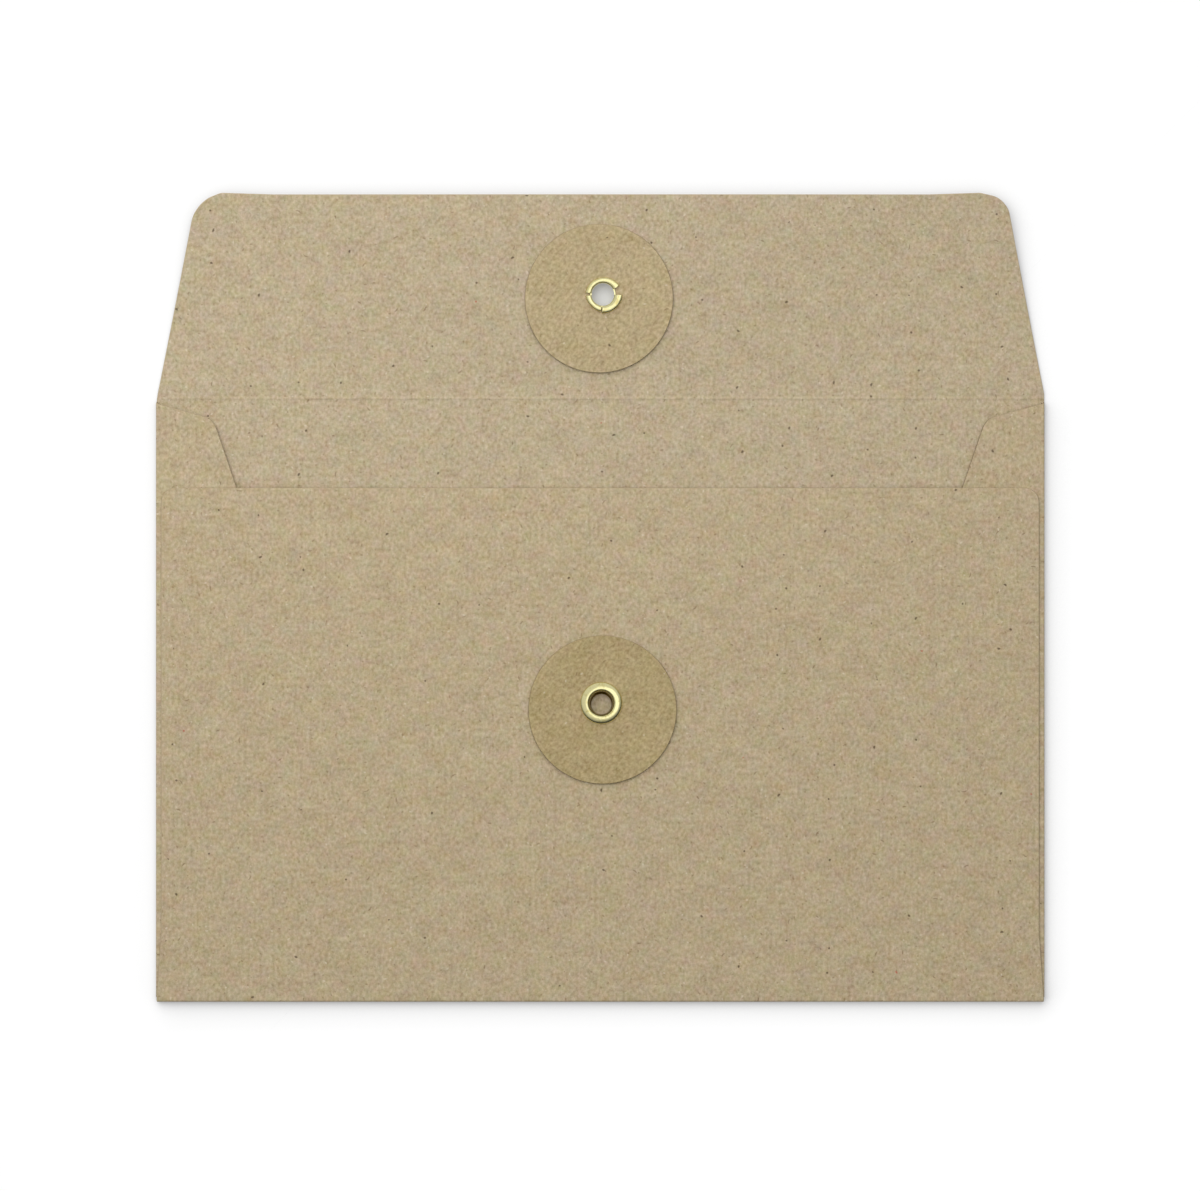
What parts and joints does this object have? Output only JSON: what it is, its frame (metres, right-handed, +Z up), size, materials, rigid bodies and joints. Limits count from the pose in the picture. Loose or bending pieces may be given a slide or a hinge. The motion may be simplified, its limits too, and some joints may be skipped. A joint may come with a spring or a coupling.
{
  "type": "string tie envelope",
  "caption": "Folded kraft paper envelope with a hinged closure flap, a glued pocket, and paper discs that swivel on brass eyelets to take a winding string.",
  "frame": {"origin": "middle of the back panel's underside, where it lies on the table", "axes": "+X to the right along the long edge, +Y towards the closure flap, +Z up out of the pocket side"},
  "size_m": [0.162, 0.1472, 0.0032],
  "materials": {
    "kraft_paper": "uncoated, flecked with fibres",
    "disc_board": "uncoated, a little yellower than the paper",
    "eyelet_brass": "bright rolled brass",
    "dried_glue": "thin dried paper glue"
  },
  "bodies": {
    "envelope": {"back_panel": "kraft_paper", "flap_crease": "kraft_paper", "pocket_panel": "kraft_paper", "bottom_fold": "kraft_paper", "left_side_fold": "kraft_paper", "right_side_fold": "kraft_paper", "left_side_flap": "kraft_paper", "right_side_flap": "kraft_paper", "left_glue_seam": "dried_glue", "right_glue_seam": "dried_glue", "pocket_backing_disc": "disc_board", "pocket_eyelet": "eyelet_brass"},
    "flap": {"closure_flap": "kraft_paper", "flap_backing_disc": "disc_board", "flap_eyelet": "eyelet_brass"},
    "pocket_disc": {"pocket_string_disc": "disc_board"},
    "flap_disc": {"flap_string_disc": "disc_board"}
  },
  "joints": [
    {"name": "flap_fold", "type": "hinge", "parent": "envelope", "child": "flap", "pos_m": [0, 0.055, 0.00065], "axis": [1, 0, 0], "range_deg": [0, 171.5], "deforming": ["flap_crease"]},
    {"name": "pocket_disc_swivel", "type": "hinge", "parent": "envelope", "child": "pocket_disc", "pos_m": [0.0002, -0.00053, 0.00149], "axis": [0, 0, 1], "continuous": true},
    {"name": "flap_disc_swivel", "type": "hinge", "parent": "flap", "child": "flap_disc", "pos_m": [0.00049, 0.07388, 0.0016], "axis": [0, -0.0793, 0.9968], "continuous": true}
  ]
}
